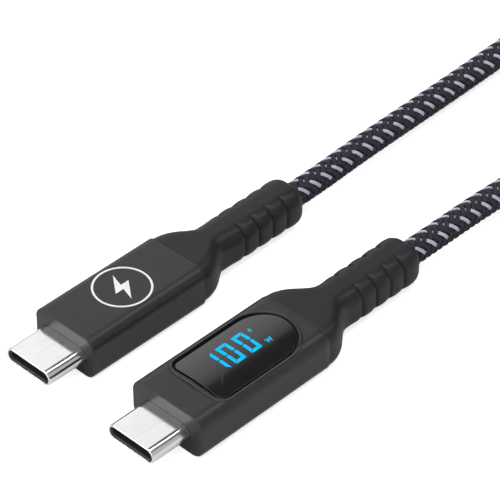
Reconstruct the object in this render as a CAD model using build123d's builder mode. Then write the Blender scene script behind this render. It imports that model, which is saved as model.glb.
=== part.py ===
from build123d import *
import math
import os
from types import SimpleNamespace

# USB-C power meter cable, in millimetres. +X runs from the meter plug's mouth to its cord, +Z is up, and
# both plugs lie on z = 0. The origin is under the middle of the meter head, on the surface it lies on.

# Driving dimensions: the USB-C plug shell is the standard size, and the rest is set around it.
SHELL_WIDTH = 8.25
SHELL_HEIGHT = 2.40
SHELL_WALL = 0.25
SHELL_EXPOSED = 6.5
SHELL_BURIED = 3.5
BODY_HEIGHT = 6.6
AXIS_HEIGHT = BODY_HEIGHT / 2
WALL = 0.9
FRONT_ROUNDING = 0.2
METER_BODY_WIDTH = 12.7
METER_BODY_LENGTH = 23.6
METER_BODY_CORNER = 2.0
PLAIN_BODY_WIDTH = 11.0
PLAIN_BODY_LENGTH = 20.6
PLAIN_BODY_CORNER = 1.6
METER_RELIEF_LENGTH = 21.7
PLAIN_RELIEF_LENGTH = 22.1
PLUG_SPACING = 20.0
PLAIN_SETBACK = 0.85

CORD_DIAMETER = 3.85
CORD_RADIUS = CORD_DIAMETER / 2

METER_TOTAL = SHELL_EXPOSED + METER_BODY_LENGTH + METER_RELIEF_LENGTH
METER_FACE = -METER_TOTAL / 2 + SHELL_EXPOSED

# Inside the plugs
CARRIER_CLEARANCE = 0.02
MOUTH_WIDTH = 7.0
MOUTH_HEIGHT = 1.08
MOUTH_DEPTH = 5.7
CARRIER_SETBACK = 0.3
BOARD_THICKNESS = 0.8
CONTACT_THICKNESS = 0.14
CONTACT_WIDTH = 0.25
CONTACT_PITCH = 0.5
CONTACT_COUNT = 12
BOARD_START = 3.35
LATCH_THICKNESS = 0.2
LATCH_INSET = 0.12
MIDPLATE_THICKNESS = 0.15
SPRING_THICKNESS = 0.12
CAN_WALL = 0.15
CAN_START = 3.6
CAN_LENGTH = 4.8
COLLAR_LENGTH = 2.5
TENON_LENGTH = 1.2
CRIMP_RADIUS = 2.2
CRIMP_START = 0.8
CRIMP_LENGTH = 1.8
TAIL_START = 0.6

# Display window: a straight front edge with small corners and a fully round rear
WINDOW_FRONT = 4.95
WINDOW_REAR = 21.4
WINDOW_HALF_WIDTH = 4.63
WINDOW_Y = -0.27
WINDOW_CORNER = 1.0
WINDOW_TOP = BODY_HEIGHT + 0.35
WINDOW_FLAT = 3.0
WINDOW_SIDE_RADIUS = 3.8
WINDOW_THICKNESS = 1.0
GASKET_WIDTH = 0.2
GASKET_DROP = 0.12
RIM_WIDTH = 0.55
RIM_TOP = BODY_HEIGHT + 0.28
RIM_FLAT = 3.4
RIM_SIDE_RADIUS = 4.5
SEAT_LEDGE = 0.6

# Digits, from the housing's front face: each one's front edge, the middle of their height and their bars
ONE_FRONT = 8.12
ZERO_FRONTS = (10.87, 13.78)
DIGIT_WIDTH = 1.88
DIGIT_HEIGHT = 4.0
DIGIT_CENTRE_Y = 0.3
STROKE = 0.5
STROKE_GAP = 0.05
STROKE_POINT = 0.16
DIGIT_DEPTH = 0.14
DIGIT_PROUD = 0.01
BOLT_SIGN = (16.7, 1.7)
BOLT_SIGN_SIZE = 1.0
WATT_SIGN = (17.13, -1.45)

# Badge on the plain plug
BADGE_X = 10.55
BADGE_RADIUS = 4.13
BADGE_LINE = 0.3
BADGE_RECESS = 0.03
BADGE_PROUD = 0.02

# Strain relief, from the seam with the housing: distance, half width, half height, corner radius
RELIEF_SECTIONS = (
    (0.0, 0.985, 3.22, 1.9),
    (1.6, 0.96, 3.2, 2.0),
    (3.2, 0.85, 3.17, 2.1),
    (4.7, 0.66, 3.13, 2.15),
    (6.0, 0.52, 3.1, 2.2),
    (7.8, 0.49, 3.1, 2.2),
)
RELIEF_HALF_WIDTH = 3.1
RELIEF_CORNER = 2.2
RELIEF_RIB_PITCH = 2.75
RELIEF_RIB_COUNT = 4
RELIEF_SLOT_WIDTH = 0.9
RELIEF_SLOT_DEPTH = 0.5
RELIEF_END_ROUNDING = 1.2

# Coil of the cord that is put away: turns side by side in two layers, held off the surface by its ties
TIE_THICKNESS = 0.6
TIE_ARC = 20.0
TURN_PITCH = 3.95
INNER_TURN = 12.6
COLUMNS = 4
COIL_CENTRE = (112.0, 8.6)
LOW_TURN_Z = TIE_THICKNESS + CORD_RADIUS
HIGH_TURN_Z = LOW_TURN_Z + TURN_PITCH
OUTER_TURN = INNER_TURN + (COLUMNS - 1) * TURN_PITCH
LEAVING_TURN = OUTER_TURN + TURN_PITCH
COIL_INSIDE = INNER_TURN - CORD_RADIUS
COIL_OUTSIDE = LEAVING_TURN + CORD_RADIUS
COIL_TOP = HIGH_TURN_Z + CORD_RADIUS

METER = SimpleNamespace(
    name="meter",
    face=METER_FACE,
    y=0.0,
    width=METER_BODY_WIDTH,
    length=METER_BODY_LENGTH,
    corner=METER_BODY_CORNER,
    relief_length=METER_RELIEF_LENGTH,
    ribs_start=9.9,
    board_end=20.2,
    board_width=8.8,
)
PLAIN = SimpleNamespace(
    name="plain",
    face=METER_FACE + PLAIN_SETBACK,
    y=PLUG_SPACING,
    width=PLAIN_BODY_WIDTH,
    length=PLAIN_BODY_LENGTH,
    corner=PLAIN_BODY_CORNER,
    relief_length=PLAIN_RELIEF_LENGTH,
    ribs_start=10.3,
    board_end=17.1,
    board_width=7.4,
)
PLUGS = (METER, PLAIN)

METER_RELIEF_END = METER.face + METER.length + METER_RELIEF_LENGTH
PLAIN_RELIEF_END = PLAIN.face + PLAIN.length + PLAIN_RELIEF_LENGTH

# Routes of the two uncoiled stretches, from the strain relief towards the coil, which they meet at a tangent
METER_ROUTE = (
    (METER_RELIEF_END, METER.y, AXIS_HEIGHT),
    (32.0, METER.y, AXIS_HEIGHT),
    (42.0, 0.3, 2.9),
    (52.0, 0.1, 2.5),
    (64.0, -1.7, 2.3),
    (76.0, -5.2, 2.35),
    (90.0, -9.6, 2.4),
)
PLAIN_ROUTE = (
    (PLAIN_RELIEF_END, PLAIN.y, AXIS_HEIGHT),
    (29.0, PLAIN.y, AXIS_HEIGHT),
    (38.0, 20.75, 3.0),
    (49.0, 21.3, 2.65),
    (62.0, 21.85, 2.3),
    (82.0, 22.7, 2.2),
)
FILLET_SHARE = 0.45

os.makedirs("parts", exist_ok=True)


def save(part, name):
    part.label = name
    export_step(part, f"parts/{name}.step")


def across(plug, distance):
    """A plane square to the plug, that far behind its housing's front face, centred on the plug's axis."""
    origin = (plug.face + distance, plug.y, AXIS_HEIGHT)
    return Plane(origin=origin, x_dir=(0, 1, 0), z_dir=(1, 0, 0))


def level(plug, height):
    """A level plane at that height, with its origin at the plug's front face and local X along the plug."""
    return Plane(origin=(plug.face, plug.y, height), x_dir=(1, 0, 0), z_dir=(0, 0, 1))


def make_plug_shell(plug):
    """Deep-drawn steel shell, open at both ends, with a rolled front edge."""
    with BuildPart() as shell:
        with BuildSketch(across(plug, -SHELL_EXPOSED)):
            SlotOverall(SHELL_WIDTH, SHELL_HEIGHT)
        extrude(amount=SHELL_EXPOSED + SHELL_BURIED)
        fillet(shell.faces().sort_by(Axis.X)[0].edges(), radius=0.15)
        with BuildSketch(across(plug, -SHELL_EXPOSED)):
            SlotOverall(SHELL_WIDTH - 2 * SHELL_WALL, SHELL_HEIGHT - 2 * SHELL_WALL)
        extrude(amount=SHELL_EXPOSED + SHELL_BURIED, mode=Mode.SUBTRACT)
    return shell.part


def make_contact_carrier(plug):
    """Black moulding that lines the shell, with the tongue's mouth, contact slots and spring recesses."""
    length = SHELL_EXPOSED - CARRIER_SETBACK + BOARD_START
    start = -SHELL_EXPOSED + CARRIER_SETBACK
    inside_height = SHELL_HEIGHT - 2 * (SHELL_WALL + CARRIER_CLEARANCE)
    inside_width = SHELL_WIDTH - 2 * (SHELL_WALL + CARRIER_CLEARANCE)
    row_height = BOARD_THICKNESS + CONTACT_THICKNESS
    with BuildPart() as carrier:
        with BuildSketch(across(plug, start)):
            SlotOverall(inside_width, inside_height)
        extrude(amount=length)
        with BuildSketch(across(plug, start)):
            RectangleRounded(MOUTH_WIDTH, MOUTH_HEIGHT, MOUTH_HEIGHT / 2 - 0.01)
        extrude(amount=MOUTH_DEPTH, mode=Mode.SUBTRACT)
        with BuildSketch(across(plug, start)):
            with Locations((0, row_height / 2), (0, -row_height / 2)):
                Rectangle(CONTACT_PITCH * CONTACT_COUNT, CONTACT_THICKNESS)
            Rectangle(MOUTH_WIDTH - 0.1, MIDPLATE_THICKNESS)
        extrude(amount=length, mode=Mode.SUBTRACT)
        for side in (1, -1):
            with BuildSketch(across(plug, start + 0.6)):
                with Locations((0, side * (inside_height - SPRING_THICKNESS) / 2)):
                    Rectangle(5.8, SPRING_THICKNESS)
            extrude(amount=1.7, mode=Mode.SUBTRACT)
    return carrier.part


def make_contacts(plug, side):
    """Twelve gold-plated contacts of one row, each a solid, from the mouth to the board's pads."""
    row_height = (BOARD_THICKNESS + CONTACT_THICKNESS) / 2
    with BuildPart() as contacts:
        with BuildSketch(across(plug, -SHELL_EXPOSED + 1.1)):
            with Locations((0, side * row_height)):
                with GridLocations(CONTACT_PITCH, 1, CONTACT_COUNT, 1):
                    Rectangle(CONTACT_WIDTH, CONTACT_THICKNESS)
        extrude(amount=SHELL_EXPOSED - 1.1 + BOARD_START + 1.2)
    return contacts.part


def make_latch_spring(plug):
    """Stamped mid-plate whose two side arms are the latches that hold the plug in its socket."""
    arm_start = -SHELL_EXPOSED + 1.3
    plate_start = -SHELL_EXPOSED + CARRIER_SETBACK + MOUTH_DEPTH - 0.2
    arm_y = MOUTH_WIDTH / 2 - LATCH_INSET - LATCH_THICKNESS / 2
    with BuildPart() as latch:
        with BuildSketch(across(plug, plate_start)):
            Rectangle(2 * arm_y + LATCH_THICKNESS, MIDPLATE_THICKNESS)
        extrude(amount=BOARD_START - 0.1 - plate_start)
        with BuildSketch(across(plug, arm_start)):
            with Locations((arm_y, 0), (-arm_y, 0)):
                Rectangle(LATCH_THICKNESS, 0.6)
        extrude(amount=plate_start + 0.2 - arm_start)
        with BuildSketch(across(plug, arm_start)):
            with Locations((arm_y - LATCH_THICKNESS, 0), (-arm_y + LATCH_THICKNESS, 0)):
                Rectangle(LATCH_THICKNESS, 0.6)
        extrude(amount=0.7)
    return latch.part


def make_ground_springs(plug):
    """Two thin sprung plates, above and below the mouth, that ground the socket's shell."""
    inside_height = SHELL_HEIGHT - 2 * (SHELL_WALL + CARRIER_CLEARANCE)
    start = -SHELL_EXPOSED + CARRIER_SETBACK + 0.65
    with BuildPart() as springs:
        with BuildSketch(across(plug, start)):
            for side in (1, -1):
                with Locations((0, side * (inside_height - SPRING_THICKNESS) / 2)):
                    Rectangle(5.7, SPRING_THICKNESS - 0.02)
        extrude(amount=1.6)
        with BuildSketch(across(plug, start + 0.4)):
            with GridLocations(1.3, 1, 4, 1):
                Rectangle(0.35, SHELL_HEIGHT)
        extrude(amount=0.8, mode=Mode.SUBTRACT)
    return springs.part


def make_plug_collar(plug):
    """Moulded collar that centres the plug shell inside the housing's front."""
    with BuildPart() as collar:
        with BuildSketch(across(plug, WALL)):
            RectangleRounded(plug.width - 2 * WALL, BODY_HEIGHT - 2 * WALL, plug.corner - WALL)
            SlotOverall(SHELL_WIDTH, SHELL_HEIGHT, mode=Mode.SUBTRACT)
        extrude(amount=COLLAR_LENGTH)
    return collar.part


def make_circuit_board(plug):
    """Glass-fibre board on the plug's axis, with rounded rear corners and a solder notch for each wire."""
    with BuildPart() as board:
        with BuildSketch(level(plug, AXIS_HEIGHT - BOARD_THICKNESS / 2)):
            with Locations(((BOARD_START + CAN_START + 1) / 2, 0)):
                Rectangle(CAN_START + 1 - BOARD_START, 7.2)
            with Locations(((CAN_START + 1 + plug.board_end) / 2, 0)):
                Rectangle(plug.board_end - CAN_START - 1, plug.board_width)
        extrude(amount=BOARD_THICKNESS)
        corners = board.edges().filter_by(Axis.Z).sort_by(Axis.X)[-2:]
        fillet(corners, radius=0.8)
    return board.part


def make_shield_can(plug):
    """Folded steel sleeve round the back of the connector."""
    width = plug.width - 2 * WALL - 1.2
    height = BODY_HEIGHT - 2 * WALL - 1.0
    with BuildPart() as can:
        with BuildSketch(across(plug, CAN_START)):
            RectangleRounded(width, height, 0.5)
            RectangleRounded(width - 2 * CAN_WALL, height - 2 * CAN_WALL, 0.35, mode=Mode.SUBTRACT)
        extrude(amount=CAN_LENGTH)
    return can.part


def make_block(plug, start, length, y, width, bottom, height, corner=0.12):
    """A small board-mounted block, such as a chip, with its long edges rounded."""
    plane = level(plug, AXIS_HEIGHT + bottom)
    with BuildPart() as block:
        with BuildSketch(plane):
            with Locations((start + length / 2, y)):
                Rectangle(length, width)
        extrude(amount=height)
        fillet(block.edges().filter_by(Axis.Z), radius=corner)
    return block.part


def make_capacitors(plug):
    """Six ceramic chip capacitors under the board, in two rows."""
    bottom = -BOARD_THICKNESS / 2 - 0.5
    with BuildPart() as capacitors:
        with BuildSketch(level(plug, AXIS_HEIGHT + bottom)):
            with Locations((plug.board_end - 2.4, 0)):
                with GridLocations(1.5, 5.4, 3, 2):
                    Rectangle(1.0, 0.5)
        extrude(amount=0.5)
    return capacitors.part


def make_crimp_ring(plug):
    """Steel ring crimped on the end of the cable's jacket, inside the strain relief."""
    with BuildPart() as ring:
        with BuildSketch(across(plug, plug.length + CRIMP_START)):
            Circle(CRIMP_RADIUS)
            Circle(CORD_RADIUS, mode=Mode.SUBTRACT)
        extrude(amount=CRIMP_LENGTH)
    return ring.part


def make_cable_tail(plug):
    """End of the jacketed cable, held inside the strain relief."""
    with BuildPart() as tail:
        with BuildSketch(across(plug, plug.length + TAIL_START)):
            Circle(CORD_RADIUS)
        extrude(amount=plug.relief_length - TAIL_START)
    return tail.part


def make_wires(plug, radius, height, places):
    """Straight cores from the board's pads to the jacket's end."""
    start = plug.board_end - 1.2
    with BuildPart() as wires:
        with BuildSketch(across(plug, start)):
            with Locations(*[(place, height) for place in places]):
                Circle(radius)
        extrude(amount=plug.length + TAIL_START - start)
    return wires.part


def window_outline(plug, height, grow):
    """The window's outline, grown by that much, as a sketch at that height."""
    front = WINDOW_FRONT - grow
    half = WINDOW_HALF_WIDTH + grow
    rear_centre = WINDOW_REAR - WINDOW_HALF_WIDTH
    with BuildSketch(level(plug, height)) as outline:
        with Locations(((front + rear_centre) / 2, WINDOW_Y)):
            Rectangle(rear_centre - front, 2 * half)
        with Locations((rear_centre, WINDOW_Y)):
            Circle(half)
        front_corners = outline.vertices().sort_by(Axis.X)[:2]
        fillet(front_corners, radius=WINDOW_CORNER + grow)
    return outline.sketch


def crowned_block(plug, top, flat_half, side_radius, bottom):
    """A bar along the plug whose top is flat in the middle and rolls off to both sides."""
    half = flat_half + side_radius
    with BuildPart() as crowned:
        with BuildSketch(across(plug, 0)):
            with BuildLine():
                low = bottom - AXIS_HEIGHT
                high = top - AXIS_HEIGHT
                Polyline((-half, high - side_radius), (-half, low), (half, low), (half, high - side_radius))
                CenterArc((flat_half, high - side_radius), side_radius, 0, 90)
                Line((flat_half, high), (-flat_half, high))
                CenterArc((-flat_half, high - side_radius), side_radius, 90, 90)
            make_face()
        extrude(amount=plug.length)
    return crowned.part


def make_rim(plug):
    """Raised rim round the display window; it becomes part of the meter's housing."""
    with BuildPart() as rim:
        add(window_outline(plug, BODY_HEIGHT - 1.6, GASKET_WIDTH + RIM_WIDTH))
        extrude(amount=3)
        add(crowned_block(plug, RIM_TOP, RIM_FLAT, RIM_SIDE_RADIUS, 1.0), mode=Mode.INTERSECT)
    return rim.part


def make_housing(plug, rim=None):
    """Moulded sleeve with a front wall, open at the rear, where the strain relief closes it."""
    inner_corner = plug.corner - WALL
    with BuildPart() as housing:
        with BuildSketch(across(plug, 0)):
            RectangleRounded(plug.width, BODY_HEIGHT, plug.corner)
        extrude(amount=plug.length)
        fillet(housing.faces().sort_by(Axis.X)[0].edges(), radius=FRONT_ROUNDING)
        if rim is not None:
            add(rim)
        with BuildSketch(across(plug, WALL)):
            RectangleRounded(plug.width - 2 * WALL, BODY_HEIGHT - 2 * WALL, inner_corner)
        extrude(amount=plug.length, mode=Mode.SUBTRACT)
        with BuildSketch(across(plug, 0)):
            SlotOverall(SHELL_WIDTH, SHELL_HEIGHT)
        extrude(amount=WALL, mode=Mode.SUBTRACT)
        if rim is not None:
            add(window_outline(plug, WINDOW_TOP - WINDOW_THICKNESS, GASKET_WIDTH))
            extrude(amount=2, mode=Mode.SUBTRACT)
            add(window_outline(plug, AXIS_HEIGHT + 1, -SEAT_LEDGE))
            extrude(amount=4, mode=Mode.SUBTRACT)
    return housing.part


def make_window(plug):
    """Crowned dark window, recessed where the digits and signs are let into its top."""
    with BuildPart() as window:
        add(window_outline(plug, WINDOW_TOP - WINDOW_THICKNESS, 0))
        extrude(amount=2)
        crown = crowned_block(plug, WINDOW_TOP, WINDOW_FLAT, WINDOW_SIDE_RADIUS, 1.0)
        add(crown, mode=Mode.INTERSECT)
        with BuildSketch(level(plug, WINDOW_TOP + DIGIT_PROUD - DIGIT_DEPTH)):
            add_digit_outlines()
            add_bolt_outline(*BOLT_SIGN, BOLT_SIGN_SIZE)
            add_watt_outline(*WATT_SIGN)
        extrude(amount=1, mode=Mode.SUBTRACT)
    return window.part


def make_gasket(plug):
    """Black adhesive gasket between the window and the rim, a little below both."""
    bottom = WINDOW_TOP - WINDOW_THICKNESS
    with BuildPart() as gasket:
        add(window_outline(plug, bottom, GASKET_WIDTH))
        extrude(amount=2)
        crown = crowned_block(plug, RIM_TOP - GASKET_DROP, WINDOW_FLAT, WINDOW_SIDE_RADIUS, 1.0)
        add(crown, mode=Mode.INTERSECT)
        add(window_outline(plug, bottom, 0))
        extrude(amount=2, mode=Mode.SUBTRACT)
    return gasket.part


def add_upright_bar(x, side, half):
    """Half a digit's side, as a face: mitred at the digit's end and pointed in the middle."""
    edge = side * STROKE / 2
    end = half * DIGIT_HEIGHT / 2
    middle = half * STROKE_GAP
    shoulder = half * (STROKE_GAP + STROKE_POINT)
    mitre = end - half * (STROKE + STROKE_GAP)
    tip = end - half * STROKE_GAP
    points = [(edge, tip), (-edge, mitre), (-edge, shoulder), (0, middle), (edge, shoulder)]
    with Locations((x, DIGIT_CENTRE_Y)):
        Polygon(*points, align=None)


def add_end_bar(front, half):
    """A zero's end, as a face, mitred at both of its own ends."""
    outer = half * DIGIT_HEIGHT / 2
    inner = outer - half * STROKE
    reach = DIGIT_WIDTH / 2 - STROKE_GAP
    points = [(-reach, outer), (reach, outer), (reach - STROKE, inner), (-reach + STROKE, inner)]
    with Locations((front + DIGIT_WIDTH / 2, DIGIT_CENTRE_Y)):
        Polygon(*points, align=None)


def add_digit_outlines():
    """The lit bars of the reading: a one and two zeros."""
    for half in (1, -1):
        for front in (ONE_FRONT, *ZERO_FRONTS):
            add_upright_bar(front + DIGIT_WIDTH - STROKE / 2, 1, half)
        for front in ZERO_FRONTS:
            add_upright_bar(front + STROKE / 2, -1, half)
            add_end_bar(front, half)


def add_bolt_outline(x, y, size):
    """A plain lightning bolt, that tall."""
    shape = ((0.15, 0.5), (-0.3, -0.08), (-0.03, -0.08), (-0.15, -0.5), (0.3, 0.08), (0.03, 0.08))
    with Locations((x, y)):
        Polygon(*[(size * px, size * py) for px, py in shape], align=None)


def add_watt_outline(x, y):
    """A small W for watts."""
    half = 0.5
    rise = 0.42
    thick = 0.2
    outer = [(-half, rise), (-half / 2, -rise), (0, rise * 0.45), (half / 2, -rise), (half, rise)]
    inner = [(half - thick, rise), (half / 2, -rise + 2 * thick), (0, rise), (-half / 2, -rise + 2 * thick)]
    inner.append((-half + thick, rise))
    with Locations((x, y)):
        Polygon(*outer, *inner, align=None)


def make_inlay(plug, outline, *args):
    """Light guides let into the window's top, each a solid that stands hardly proud of it."""
    with BuildPart() as inlay:
        with BuildSketch(level(plug, WINDOW_TOP + DIGIT_PROUD - DIGIT_DEPTH)):
            outline(*args)
        extrude(amount=DIGIT_DEPTH)
    return inlay.part


def add_badge_outline():
    """A ring round a lightning bolt."""
    with Locations((BADGE_X, 0)):
        Circle(BADGE_RADIUS)
        Circle(BADGE_RADIUS - BADGE_LINE, mode=Mode.SUBTRACT)
    add_bolt_outline(BADGE_X, 0, 5.2)


def make_badge(plug):
    """The plain plug's printed mark, let a hair into the housing's top."""
    with BuildPart() as badge:
        with BuildSketch(level(plug, BODY_HEIGHT - BADGE_RECESS)):
            add_badge_outline()
        extrude(amount=BADGE_RECESS + BADGE_PROUD)
    return badge.part


def make_strain_relief(plug):
    """Soft moulding: it closes the housing, narrows to a rounded square and is slotted at both sides."""
    seam = plug.length
    end = seam + plug.relief_length
    with BuildPart() as relief:
        for distance, width_share, half_height, corner in RELIEF_SECTIONS:
            half_width = max(plug.width / 2 * width_share, RELIEF_HALF_WIDTH)
            with BuildSketch(across(plug, seam + distance)):
                RectangleRounded(2 * half_width, 2 * half_height, corner)
        loft()
        with BuildSketch(across(plug, seam + RELIEF_SECTIONS[-1][0])):
            RectangleRounded(2 * RELIEF_HALF_WIDTH, 2 * RELIEF_HALF_WIDTH, RELIEF_CORNER)
        extrude(amount=plug.relief_length - RELIEF_SECTIONS[-1][0])
        fillet(relief.faces().sort_by(Axis.X)[-1].edges(), radius=RELIEF_END_ROUNDING)
        with BuildSketch(across(plug, seam - TENON_LENGTH)):
            RectangleRounded(plug.width - 2 * WALL - 0.1, BODY_HEIGHT - 2 * WALL - 0.1, plug.corner - WALL)
        extrude(amount=TENON_LENGTH)
        with BuildSketch(across(plug, seam - TENON_LENGTH)):
            Circle(CRIMP_RADIUS)
        extrude(amount=TENON_LENGTH + CRIMP_START + CRIMP_LENGTH, mode=Mode.SUBTRACT)
        with BuildSketch(across(plug, seam)):
            Circle(CORD_RADIUS)
        extrude(amount=end - seam, mode=Mode.SUBTRACT)
        for rib in range(RELIEF_RIB_COUNT):
            middle = seam + plug.ribs_start + rib * RELIEF_RIB_PITCH
            with BuildSketch(across(plug, middle - RELIEF_SLOT_WIDTH / 2)):
                with Locations((RELIEF_HALF_WIDTH, 0), (-RELIEF_HALF_WIDTH, 0)):
                    Rectangle(2 * RELIEF_SLOT_DEPTH, 2 * RELIEF_HALF_WIDTH)
            extrude(amount=RELIEF_SLOT_WIDTH, mode=Mode.SUBTRACT)
    return relief.part


def tangent_angle(point, radius, side):
    """Angle round the coil's axis, in degrees, of a turn's tangent point as seen from that point."""
    away = Vector(point[0] - COIL_CENTRE[0], point[1] - COIL_CENTRE[1])
    bearing = math.atan2(away.Y, away.X)
    return math.degrees(bearing + side * math.acos(radius / away.length))


def on_turn(angle, radius):
    """A point of the coil's lower layer."""
    x = COIL_CENTRE[0] + radius * math.cos(math.radians(angle))
    y = COIL_CENTRE[1] + radius * math.sin(math.radians(angle))
    return (x, y, LOW_TURN_Z)


def make_cord_run(route, radius, side, name):
    """One uncoiled stretch of cord: straight runs joined by tangent arcs. Prints its radii and length."""
    end = on_turn(tangent_angle(route[-1], radius, side), radius)
    points = [Vector(*point) for point in (*route, end)]
    radii = []
    for before, here, after in zip(points, points[1:], points[2:]):
        turn = math.radians((here - before).get_angle(after - here))
        shorter = min((here - before).length, (after - here).length)
        radii.append(FILLET_SHARE * shorter / math.tan(turn / 2))
    with BuildPart() as run:
        with BuildLine() as line:
            FilletPolyline(*points, radius=radii)
        path = line.wire()
        with BuildSketch(Plane(origin=path @ 0, z_dir=path % 0)):
            Circle(CORD_RADIUS)
        sweep()
    length = path.length
    expected = math.pi * CORD_RADIUS**2 * length
    print(name, "radii", [round(radius, 1) for radius in radii], "length", round(length, 1))
    print(name, "volume over section times length", round(run.part.volume / expected, 4))
    return run.part, length


def turn_coil_section(grow, hollow, arc):
    """Revolves the coil's outer cross-section, grown by that much and hollow or not, round its axis."""
    plane = Plane(origin=(*COIL_CENTRE, 0), x_dir=(1, 0, 0), z_dir=(0, -1, 0))
    width = COIL_OUTSIDE - COIL_INSIDE
    height = COIL_TOP - TIE_THICKNESS
    with BuildPart() as ring:
        with BuildSketch(plane):
            with Locations(((COIL_INSIDE + COIL_OUTSIDE) / 2, (TIE_THICKNESS + COIL_TOP) / 2)):
                RectangleRounded(width + 2 * grow, height + 2 * grow, CORD_RADIUS + grow)
                if hollow:
                    RectangleRounded(width, height, CORD_RADIUS, mode=Mode.SUBTRACT)
        revolve(axis=Axis((*COIL_CENTRE, 0), (0, 0, 1)), revolution_arc=arc)
    return ring.part


def make_tie(angle):
    """Thin strap that goes once round the coil's bundle, centred on that angle."""
    tie = turn_coil_section(TIE_THICKNESS, True, TIE_ARC)
    return tie.rotate(Axis((*COIL_CENTRE, 0), (0, 0, 1)), angle - TIE_ARC / 2)


# Pieces that both plugs have
for plug in PLUGS:
    save(make_plug_shell(plug), f"{plug.name}_plug_shell")
    save(make_contact_carrier(plug), f"{plug.name}_contact_carrier")
    save(make_contacts(plug, 1), f"{plug.name}_upper_contacts")
    save(make_contacts(plug, -1), f"{plug.name}_lower_contacts")
    save(make_latch_spring(plug), f"{plug.name}_latch_spring")
    save(make_ground_springs(plug), f"{plug.name}_ground_springs")
    save(make_plug_collar(plug), f"{plug.name}_plug_collar")
    save(make_circuit_board(plug), f"{plug.name}_circuit_board")
    save(make_shield_can(plug), f"{plug.name}_shield_can")
    save(make_block(plug, 9.2, 2.4, 0, 2.0, -BOARD_THICKNESS / 2 - 0.7, 0.7), f"{plug.name}_emarker_chip")
    save(make_crimp_ring(plug), f"{plug.name}_crimp_ring")
    save(make_cable_tail(plug), f"{plug.name}_cable_tail")
    save(make_wires(plug, 0.5, 0.9, (-1.1, 1.1)), f"{plug.name}_power_wires")
    save(make_wires(plug, 0.25, -0.65, (-1.2, -0.4, 0.4, 1.2)), f"{plug.name}_signal_wires")
    save(make_strain_relief(plug), f"{plug.name}_strain_relief")

# The meter's own pieces
save(make_housing(METER, make_rim(METER)), "meter_housing")
save(make_window(METER), "display_window")
save(make_gasket(METER), "window_gasket")
save(make_inlay(METER, add_digit_outlines), "display_digits")
save(make_inlay(METER, add_bolt_outline, *BOLT_SIGN, BOLT_SIGN_SIZE), "charging_sign")
save(make_inlay(METER, add_watt_outline, *WATT_SIGN), "watt_sign")
save(make_block(METER, 8.8, 10.0, 0, 7.0, BOARD_THICKNESS / 2, 1.9, 0.4), "display_module")
save(make_block(METER, 12.6, 4.0, 0, 4.0, -BOARD_THICKNESS / 2 - 0.8, 0.8), "meter_controller_chip")
save(make_block(METER, 9.2, 1.6, 3.0, 3.0, -BOARD_THICKNESS / 2 - 0.6, 0.6), "current_shunt")
save(make_capacitors(METER), "board_capacitors")

# The plain plug's own pieces
plain_badge = make_badge(PLAIN)
plain_housing = make_housing(PLAIN) - plain_badge
save(plain_badge, "plain_badge")
save(plain_housing, "plain_housing")

# The cord, and the ties on its coil
meter_run, meter_run_length = make_cord_run(METER_ROUTE, OUTER_TURN, 1, "cord_meter_run")
plain_run, plain_run_length = make_cord_run(PLAIN_ROUTE, LEAVING_TURN, -1, "cord_plain_run")
save(meter_run, "cord_meter_run")
save(plain_run, "cord_plain_run")
save(turn_coil_section(0, False, 360), "cord_coil")
save(make_tie(60), "cord_tie_near")
save(make_tie(-60), "cord_tie_far")

turn_radii = [INNER_TURN + column * TURN_PITCH for column in range(COLUMNS)]
entry = tangent_angle(METER_ROUTE[-1], OUTER_TURN, 1) % 360
leaving = tangent_angle(PLAIN_ROUTE[-1], LEAVING_TURN, -1) % 360 + 360
coil_length = 2 * 2 * math.pi * sum(turn_radii) + math.radians(leaving - entry) * LEAVING_TURN
print("coil entry and leaving angles", round(entry, 1), round(leaving, 1), "length", round(coil_length, 1))
print("whole cord", round(meter_run_length + coil_length + plain_run_length, 1))
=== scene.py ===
import math

import bpy
import numpy as np
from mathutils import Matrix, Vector


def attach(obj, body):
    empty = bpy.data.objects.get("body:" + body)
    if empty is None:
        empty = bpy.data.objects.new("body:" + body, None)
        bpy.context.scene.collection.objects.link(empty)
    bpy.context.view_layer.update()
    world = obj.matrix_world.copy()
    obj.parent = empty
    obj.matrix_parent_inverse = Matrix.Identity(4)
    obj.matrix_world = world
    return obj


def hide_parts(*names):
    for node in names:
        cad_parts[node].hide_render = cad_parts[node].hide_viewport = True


# USB-C power meter cable. Lengths in this script are in millimetres.
# They become metres where an object is made.
MM = 0.001

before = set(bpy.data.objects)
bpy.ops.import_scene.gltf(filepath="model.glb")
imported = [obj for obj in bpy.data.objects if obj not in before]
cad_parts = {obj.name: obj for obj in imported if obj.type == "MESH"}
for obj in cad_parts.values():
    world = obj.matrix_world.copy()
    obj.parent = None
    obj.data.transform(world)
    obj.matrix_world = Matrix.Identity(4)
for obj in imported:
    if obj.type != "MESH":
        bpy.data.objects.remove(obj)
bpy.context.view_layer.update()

# Driving dimensions. The plug shell's wall is thicker here than in the CAD model and less of it is buried;
# the other sizes in this block are the CAD model's.
SHELL_WIDTH = 8.25
SHELL_HEIGHT = 2.40
SHELL_WALL = 0.32
SHELL_EXPOSED = 6.5
SHELL_BURIED = 1.5
SHELL_LIP = 0.17
BODY_HEIGHT = 6.6
AXIS_HEIGHT = BODY_HEIGHT / 2
FRONT_ROUNDING = 0.2
METER_WIDTH = 12.7
METER_LENGTH = 23.6
METER_CORNER = 2.0
PLAIN_WIDTH = 11.0
PLAIN_LENGTH = 20.6
PLAIN_CORNER = 1.6
METER_RELIEF_LENGTH = 21.7
PLAIN_RELIEF_LENGTH = 22.1
METER_FACE = SHELL_EXPOSED - (SHELL_EXPOSED + METER_LENGTH + METER_RELIEF_LENGTH) / 2
PLAIN_FACE = METER_FACE + 0.85
PLAIN_Y = 20.0

CORD_DIAMETER = 3.85
CORD_RADIUS = CORD_DIAMETER / 2


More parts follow.
